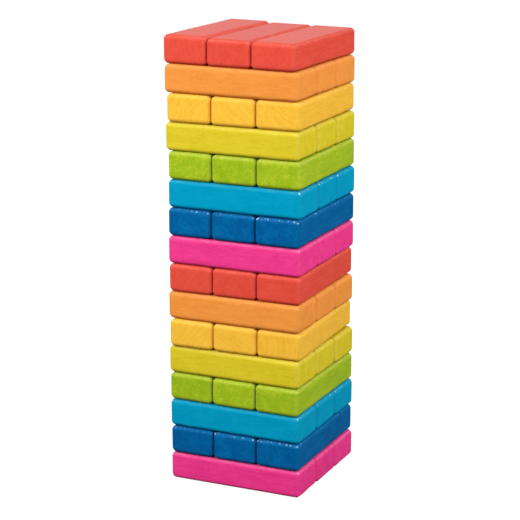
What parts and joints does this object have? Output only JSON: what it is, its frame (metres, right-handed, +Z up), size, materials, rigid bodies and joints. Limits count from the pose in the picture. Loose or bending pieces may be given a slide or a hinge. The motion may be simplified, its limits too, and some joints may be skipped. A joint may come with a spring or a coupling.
{
  "type": "giant tumbling tower",
  "caption": "Stacking game tower of long rounded wooden blocks in rainbow stains, laid crosswise in layers; each block slides out along its length or lifts off the top.",
  "frame": {"origin": "middle of the tower's footprint, on the ground under the middle block of the bottom layer", "axes": "+Z up the tower; -Y the front, where the top layer shows three block ends; +X to the right, where the top layer shows one long side"},
  "size_m": [0.1554, 0.1546, 0.4781],
  "materials": {
    "stain_red": "satin",
    "stain_orange": "satin",
    "stain_amber": "satin",
    "stain_yellow": "satin",
    "stain_green": "satin",
    "stain_cyan": "satin",
    "stain_blue": "satin",
    "stain_pink": "satin"
  },
  "bodies": {
    "block_01_pink_front": {"block_01_pink_front": "stain_pink"},
    "block_01_pink_middle": {"block_01_pink_middle": "stain_pink"},
    "block_01_pink_back": {"block_01_pink_back": "stain_pink"},
    "block_02_blue_left": {"block_02_blue_left": "stain_blue"},
    "block_02_blue_middle": {"block_02_blue_middle": "stain_blue"},
    "block_02_blue_right": {"block_02_blue_right": "stain_blue"},
    "block_03_cyan_front": {"block_03_cyan_front": "stain_cyan"},
    "block_03_cyan_middle": {"block_03_cyan_middle": "stain_cyan"},
    "block_03_cyan_back": {"block_03_cyan_back": "stain_cyan"},
    "block_04_green_left": {"block_04_green_left": "stain_green"},
    "block_04_green_middle": {"block_04_green_middle": "stain_green"},
    "block_04_green_right": {"block_04_green_right": "stain_green"},
    "block_05_yellow_front": {"block_05_yellow_front": "stain_yellow"},
    "block_05_yellow_middle": {"block_05_yellow_middle": "stain_yellow"},
    "block_05_yellow_back": {"block_05_yellow_back": "stain_yellow"},
    "block_06_amber_left": {"block_06_amber_left": "stain_amber"},
    "block_06_amber_middle": {"block_06_amber_middle": "stain_amber"},
    "block_06_amber_right": {"block_06_amber_right": "stain_amber"},
    "block_07_orange_front": {"block_07_orange_front": "stain_orange"},
    "block_07_orange_middle": {"block_07_orange_middle": "stain_orange"},
    "block_07_orange_back": {"block_07_orange_back": "stain_orange"},
    "block_08_red_left": {"block_08_red_left": "stain_red"},
    "block_08_red_middle": {"block_08_red_middle": "stain_red"},
    "block_08_red_right": {"block_08_red_right": "stain_red"},
    "block_09_pink_front": {"block_09_pink_front": "stain_pink"},
    "block_09_pink_middle": {"block_09_pink_middle": "stain_pink"},
    "block_09_pink_back": {"block_09_pink_back": "stain_pink"},
    "block_10_blue_left": {"block_10_blue_left": "stain_blue"},
    "block_10_blue_middle": {"block_10_blue_middle": "stain_blue"},
    "block_10_blue_right": {"block_10_blue_right": "stain_blue"},
    "block_11_cyan_front": {"block_11_cyan_front": "stain_cyan"},
    "block_11_cyan_middle": {"block_11_cyan_middle": "stain_cyan"},
    "block_11_cyan_back": {"block_11_cyan_back": "stain_cyan"},
    "block_12_green_left": {"block_12_green_left": "stain_green"},
    "block_12_green_middle": {"block_12_green_middle": "stain_green"},
    "block_12_green_right": {"block_12_green_right": "stain_green"},
    "block_13_yellow_front": {"block_13_yellow_front": "stain_yellow"},
    "block_13_yellow_middle": {"block_13_yellow_middle": "stain_yellow"},
    "block_13_yellow_back": {"block_13_yellow_back": "stain_yellow"},
    "block_14_amber_left": {"block_14_amber_left": "stain_amber"},
    "block_14_amber_middle": {"block_14_amber_middle": "stain_amber"},
    "block_14_amber_right": {"block_14_amber_right": "stain_amber"},
    "block_15_orange_front": {"block_15_orange_front": "stain_orange"},
    "block_15_orange_middle": {"block_15_orange_middle": "stain_orange"},
    "block_15_orange_back": {"block_15_orange_back": "stain_orange"},
    "block_16_red_left": {"block_16_red_left": "stain_red"},
    "block_16_red_middle": {"block_16_red_middle": "stain_red"},
    "block_16_red_right": {"block_16_red_right": "stain_red"}
  },
  "joints": [
    {"name": "slide_01_front", "type": "slide", "parent": "block_01_pink_middle", "child": "block_01_pink_front", "axis": [1, 0.0017, 0], "range_m": [-0.155, 0.155]},
    {"name": "slide_01_back", "type": "slide", "parent": "block_01_pink_middle", "child": "block_01_pink_back", "axis": [1, 0.0017, 0], "range_m": [-0.155, 0.155]},
    {"name": "slide_02_left", "type": "slide", "parent": "block_01_pink_middle", "child": "block_02_blue_left", "axis": [0, 1, 0], "range_m": [-0.155, 0.155]},
    {"name": "slide_02_middle", "type": "slide", "parent": "block_01_pink_middle", "child": "block_02_blue_middle", "axis": [0, 1, 0], "range_m": [-0.155, 0.155]},
    {"name": "slide_02_right", "type": "slide", "parent": "block_01_pink_middle", "child": "block_02_blue_right", "axis": [0, 1, 0], "range_m": [-0.155, 0.155]},
    {"name": "slide_03_front", "type": "slide", "parent": "block_01_pink_middle", "child": "block_03_cyan_front", "axis": [1, -0.0052, 0], "range_m": [-0.155, 0.155]},
    {"name": "slide_03_middle", "type": "slide", "parent": "block_01_pink_middle", "child": "block_03_cyan_middle", "axis": [1, -0.0052, 0], "range_m": [-0.155, 0.155]},
    {"name": "slide_03_back", "type": "slide", "parent": "block_01_pink_middle", "child": "block_03_cyan_back", "axis": [1, -0.0052, 0], "range_m": [-0.155, 0.155]},
    {"name": "slide_04_left", "type": "slide", "parent": "block_01_pink_middle", "child": "block_04_green_left", "axis": [0.0105, 0.9999, 0], "range_m": [-0.155, 0.155]},
    {"name": "slide_04_middle", "type": "slide", "parent": "block_01_pink_middle", "child": "block_04_green_middle", "axis": [0.0105, 0.9999, 0], "range_m": [-0.155, 0.155]},
    {"name": "slide_04_right", "type": "slide", "parent": "block_01_pink_middle", "child": "block_04_green_right", "axis": [0.0105, 0.9999, 0], "range_m": [-0.155, 0.155]},
    {"name": "slide_05_front", "type": "slide", "parent": "block_01_pink_middle", "child": "block_05_yellow_front", "axis": [1, -0.0052, 0], "range_m": [-0.155, 0.155]},
    {"name": "slide_05_middle", "type": "slide", "parent": "block_01_pink_middle", "child": "block_05_yellow_middle", "axis": [1, -0.0052, 0], "range_m": [-0.155, 0.155]},
    {"name": "slide_05_back", "type": "slide", "parent": "block_01_pink_middle", "child": "block_05_yellow_back", "axis": [1, -0.0052, 0], "range_m": [-0.155, 0.155]},
    {"name": "slide_06_left", "type": "slide", "parent": "block_01_pink_middle", "child": "block_06_amber_left", "axis": [-0.0244, 0.9997, 0], "range_m": [-0.155, 0.155]},
    {"name": "slide_06_middle", "type": "slide", "parent": "block_01_pink_middle", "child": "block_06_amber_middle", "axis": [-0.0244, 0.9997, 0], "range_m": [-0.155, 0.155]},
    {"name": "slide_06_right", "type": "slide", "parent": "block_01_pink_middle", "child": "block_06_amber_right", "axis": [-0.0244, 0.9997, 0], "range_m": [-0.155, 0.155]},
    {"name": "slide_07_front", "type": "slide", "parent": "block_01_pink_middle", "child": "block_07_orange_front", "axis": [1, -0.0017, 0], "range_m": [-0.155, 0.155]},
    {"name": "slide_07_middle", "type": "slide", "parent": "block_01_pink_middle", "child": "block_07_orange_middle", "axis": [1, -0.0017, 0], "range_m": [-0.155, 0.155]},
    {"name": "slide_07_back", "type": "slide", "parent": "block_01_pink_middle", "child": "block_07_orange_back", "axis": [1, -0.0017, 0], "range_m": [-0.155, 0.155]},
    {"name": "slide_08_left", "type": "slide", "parent": "block_01_pink_middle", "child": "block_08_red_left", "axis": [-0.0157, 0.9999, 0], "range_m": [-0.155, 0.155]},
    {"name": "slide_08_middle", "type": "slide", "parent": "block_01_pink_middle", "child": "block_08_red_middle", "axis": [-0.0157, 0.9999, 0], "range_m": [-0.155, 0.155]},
    {"name": "slide_08_right", "type": "slide", "parent": "block_01_pink_middle", "child": "block_08_red_right", "axis": [-0.0157, 0.9999, 0], "range_m": [-0.155, 0.155]},
    {"name": "slide_09_front", "type": "slide", "parent": "block_01_pink_middle", "child": "block_09_pink_front", "axis": [1, 0.0035, 0], "range_m": [-0.155, 0.155]},
    {"name": "slide_09_middle", "type": "slide", "parent": "block_01_pink_middle", "child": "block_09_pink_middle", "axis": [1, 0.0035, 0], "range_m": [-0.155, 0.155]},
    {"name": "slide_09_back", "type": "slide", "parent": "block_01_pink_middle", "child": "block_09_pink_back", "axis": [1, 0.0035, 0], "range_m": [-0.155, 0.155]},
    {"name": "slide_10_left", "type": "slide", "parent": "block_01_pink_middle", "child": "block_10_blue_left", "axis": [0.007, 1, 0], "range_m": [-0.155, 0.155]},
    {"name": "slide_10_middle", "type": "slide", "parent": "block_01_pink_middle", "child": "block_10_blue_middle", "axis": [0.007, 1, 0], "range_m": [-0.155, 0.155]},
    {"name": "slide_10_right", "type": "slide", "parent": "block_01_pink_middle", "child": "block_10_blue_right", "axis": [0.007, 1, 0], "range_m": [-0.155, 0.155]},
    {"name": "slide_11_front", "type": "slide", "parent": "block_01_pink_middle", "child": "block_11_cyan_front", "axis": [1, 0.0035, 0], "range_m": [-0.155, 0.155]},
    {"name": "slide_11_middle", "type": "slide", "parent": "block_01_pink_middle", "child": "block_11_cyan_middle", "axis": [1, 0.0035, 0], "range_m": [-0.155, 0.155]},
    {"name": "slide_11_back", "type": "slide", "parent": "block_01_pink_middle", "child": "block_11_cyan_back", "axis": [1, 0.0035, 0], "range_m": [-0.155, 0.155]},
    {"name": "slide_12_left", "type": "slide", "parent": "block_01_pink_middle", "child": "block_12_green_left", "axis": [-0.0035, 1, 0], "range_m": [-0.155, 0.155]},
    {"name": "slide_12_middle", "type": "slide", "parent": "block_01_pink_middle", "child": "block_12_green_middle", "axis": [-0.0035, 1, 0], "range_m": [-0.155, 0.155]},
    {"name": "slide_12_right", "type": "slide", "parent": "block_01_pink_middle", "child": "block_12_green_right", "axis": [-0.0035, 1, 0], "range_m": [-0.155, 0.155]},
    {"name": "slide_13_front", "type": "slide", "parent": "block_01_pink_middle", "child": "block_13_yellow_front", "axis": [1, -0.0035, 0], "range_m": [-0.155, 0.155]},
    {"name": "slide_13_middle", "type": "slide", "parent": "block_01_pink_middle", "child": "block_13_yellow_middle", "axis": [1, -0.0035, 0], "range_m": [-0.155, 0.155]},
    {"name": "slide_13_back", "type": "slide", "parent": "block_01_pink_middle", "child": "block_13_yellow_back", "axis": [1, -0.0035, 0], "range_m": [-0.155, 0.155]},
    {"name": "slide_14_left", "type": "slide", "parent": "block_01_pink_middle", "child": "block_14_amber_left", "axis": [-0.0087, 1, 0], "range_m": [-0.155, 0.155]},
    {"name": "slide_14_middle", "type": "slide", "parent": "block_01_pink_middle", "child": "block_14_amber_middle", "axis": [-0.0087, 1, 0], "range_m": [-0.155, 0.155]},
    {"name": "slide_14_right", "type": "slide", "parent": "block_01_pink_middle", "child": "block_14_amber_right", "axis": [-0.0087, 1, 0], "range_m": [-0.155, 0.155]},
    {"name": "slide_15_front", "type": "slide", "parent": "block_01_pink_middle", "child": "block_15_orange_front", "axis": [0.9999, -0.0157, 0], "range_m": [-0.155, 0.155]},
    {"name": "slide_15_middle", "type": "slide", "parent": "block_01_pink_middle", "child": "block_15_orange_middle", "axis": [0.9999, -0.0157, 0], "range_m": [-0.155, 0.155]},
    {"name": "slide_15_back", "type": "slide", "parent": "block_01_pink_middle", "child": "block_15_orange_back", "axis": [0.9999, -0.0157, 0], "range_m": [-0.155, 0.155]},
    {"name": "lift_16_left", "type": "slide", "parent": "block_01_pink_middle", "child": "block_16_red_left", "axis": [0, 0, 1], "range_m": [0, 0.15]},
    {"name": "lift_16_middle", "type": "slide", "parent": "block_01_pink_middle", "child": "block_16_red_middle", "axis": [0, 0, 1], "range_m": [0, 0.15]},
    {"name": "lift_16_right", "type": "slide", "parent": "block_01_pink_middle", "child": "block_16_red_right", "axis": [0, 0, 1], "range_m": [0, 0.15]}
  ]
}
